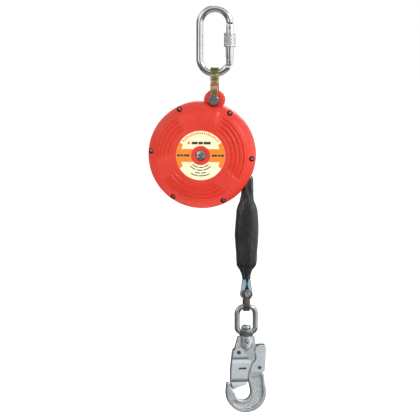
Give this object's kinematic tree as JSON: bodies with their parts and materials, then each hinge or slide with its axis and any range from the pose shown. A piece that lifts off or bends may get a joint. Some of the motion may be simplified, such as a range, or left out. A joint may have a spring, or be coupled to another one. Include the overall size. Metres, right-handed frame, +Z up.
{
  "type": "self retracting lifeline",
  "caption": "Round fall-arrest block hung from an oval screw-gate carabiner, paying out a sprung line through a sleeved shock absorber to a swivelling snap hook.",
  "frame": {"origin": "inside top of the anchor carabiner's bow, where the anchor holds it", "axes": "+Z up along the hanging object, +X to the side the line leaves, the label faces -Y"},
  "size_m": [0.1863, 0.064, 0.6365],
  "materials": {
    "polished_steel": "polished",
    "passivated_strap": "yellow passivated",
    "bolt_steel": "satin",
    "red_cover": "semi-gloss",
    "label": "printed",
    "plated_steel": "zinc plated",
    "cast_aluminium": "cast",
    "spring_steel": "blued",
    "bronze": "sintered",
    "friction_lining": "lining",
    "wire_rope": "galvanised",
    "guide_plastic": "moulded",
    "black_sleeve": "shrink sleeve",
    "webbing": "woven",
    "blue_zinc": "blue zinc",
    "dark_steel": "dark zinc",
    "ring_steel": "satin",
    "zinc_forging": "zinc plated"
  },
  "bodies": {
    "anchor": {"carabiner_body": "polished_steel"},
    "carabiner_gate": {"carabiner_gate": "polished_steel", "carabiner_gate_pin": "bolt_steel", "carabiner_latch_pin": "bolt_steel", "carabiner_gate_spring": "spring_steel"},
    "lock_sleeve": {"lock_sleeve": "polished_steel"},
    "top_shackle": {"top_shackle": "passivated_strap", "lug_bolt": "bolt_steel", "lug_nut": "bolt_steel"},
    "casing": {"front_cover": "red_cover", "rear_cover": "red_cover", "cover_screw_1": "plated_steel", "cover_screw_2": "plated_steel", "cover_screw_3": "plated_steel", "cover_screw_4": "plated_steel", "cover_screw_5": "plated_steel", "cover_screw_6": "plated_steel", "front_label": "label", "load_plate_front": "plated_steel", "load_plate_rear": "plated_steel", "lug_bush": "plated_steel", "main_shaft": "bolt_steel", "shaft_clip_front": "spring_steel", "shaft_clip_rear": "spring_steel", "power_spring": "spring_steel", "brake_hub": "plated_steel", "friction_disc_inner": "friction_lining", "friction_disc_outer": "friction_lining", "pressure_plate": "plated_steel", "brake_nut": "plated_steel", "ratchet_ring": "plated_steel", "line_guide": "guide_plastic"},
    "drum": {"drum": "cast_aluminium", "drum_bush": "bronze", "wound_line": "wire_rope", "spring_cover": "plated_steel", "pawl_pin_1": "bolt_steel", "pawl_pin_2": "bolt_steel", "pawl_spring_1": "spring_steel", "pawl_spring_2": "spring_steel"},
    "pawl_1": {"pawl_1": "plated_steel"},
    "pawl_2": {"pawl_2": "plated_steel"},
    "line": {"line_run": "wire_rope", "line_ferrule": "cast_aluminium", "absorber_pack": "webbing", "absorber_sleeve": "black_sleeve", "thimble": "blue_zinc"},
    "lower_shackle": {"lower_shackle": "dark_steel", "lower_bolt": "bolt_steel", "lower_nut": "bolt_steel"},
    "swivel_ring": {"swivel_ring": "ring_steel"},
    "hook": {"swivel_stud": "bolt_steel", "stud_cross_pin": "bolt_steel", "hook_body": "zinc_forging", "hook_gate_pin": "bolt_steel", "lock_lever_pin": "bolt_steel"},
    "hook_gate": {"hook_gate": "zinc_forging", "hook_gate_spring": "spring_steel"},
    "lock_lever": {"lock_lever": "zinc_forging", "lock_lever_spring": "spring_steel"}
  },
  "joints": [
    {"name": "carabiner_gate_hinge", "type": "hinge", "parent": "anchor", "child": "carabiner_gate", "pos_m": [0.02325, 0, -0.076], "axis": [0, -1, 0], "range_deg": [0, 28], "stiffness_Nm_per_rad": 0.5, "springref_deg": -17.19},
    {"name": "lock_sleeve_travel", "type": "slide", "parent": "carabiner_gate", "child": "lock_sleeve", "axis": [0, 0, 1], "range_m": [0, 0.013]},
    {"name": "shackle_swing", "type": "hinge", "parent": "anchor", "child": "top_shackle", "pos_m": [0, 0, -0.0943], "axis": [1, 0, 0], "range_deg": [-75, 75]},
    {"name": "lug_swing", "type": "hinge", "parent": "top_shackle", "child": "casing", "pos_m": [0, 0, -0.1355], "axis": [0, 1, 0], "range_deg": [-60, 60]},
    {"name": "line_payout", "type": "slide", "parent": "casing", "child": "line", "axis": [0, 0, -1], "range_m": [0, 3.1415], "stiffness_N_per_m": 5, "springref_m": -4, "deforming": ["line_run"]},
    {"name": "drum_spin", "type": "hinge", "parent": "casing", "child": "drum", "pos_m": [-0.019, 0, -0.2205], "axis": [0, 1, 0], "range_deg": [0, 2880]},
    {"name": "pawl_1_swing", "type": "hinge", "parent": "drum", "child": "pawl_1", "pos_m": [0.008, 0, -0.2205], "axis": [0, -1, 0], "range_deg": [0, 18], "stiffness_Nm_per_rad": 0.02, "springref_deg": -20.05},
    {"name": "pawl_2_swing", "type": "hinge", "parent": "drum", "child": "pawl_2", "pos_m": [-0.046, 0, -0.2205], "axis": [0, -1, 0], "range_deg": [0, 18]},
    {"name": "lower_bolt_swing", "type": "hinge", "parent": "line", "child": "lower_shackle", "pos_m": [0.051, 0, -0.4384], "axis": [-0.2079, 0.9781, 0], "range_deg": [-60, 60]},
    {"name": "ring_swing", "type": "hinge", "parent": "lower_shackle", "child": "swivel_ring", "pos_m": [0.051, 0, -0.4584], "axis": [0.9781, 0.2079, 0], "range_deg": [-50, 50]},
    {"name": "hook_swivel", "type": "hinge", "parent": "swivel_ring", "child": "hook", "pos_m": [0.051, 0, -0.504], "axis": [0, 0, 1], "continuous": true},
    {"name": "hook_gate_hinge", "type": "hinge", "parent": "hook", "child": "hook_gate", "pos_m": [0.03838, -0.00268, -0.5296], "axis": [0.2079, -0.9781, 0], "range_deg": [0, 18], "stiffness_Nm_per_rad": 0.5, "springref_deg": -22.92},
    {"name": "lock_lever_hinge", "type": "hinge", "parent": "hook", "child": "lock_lever", "pos_m": [0.07046, 0.00414, -0.5538], "axis": [0.2079, -0.9781, 0], "range_deg": [0, 12]}
  ],
  "couplings": [
    {"joint": "drum_spin", "follows": "line_payout", "rad_per_m": 16},
    {"joint": "pawl_2_swing", "follows": "pawl_1_swing", "ratio": 1},
    {"joint": "lock_lever_hinge", "follows": "hook_gate_hinge", "ratio": 0.6666}
  ]
}
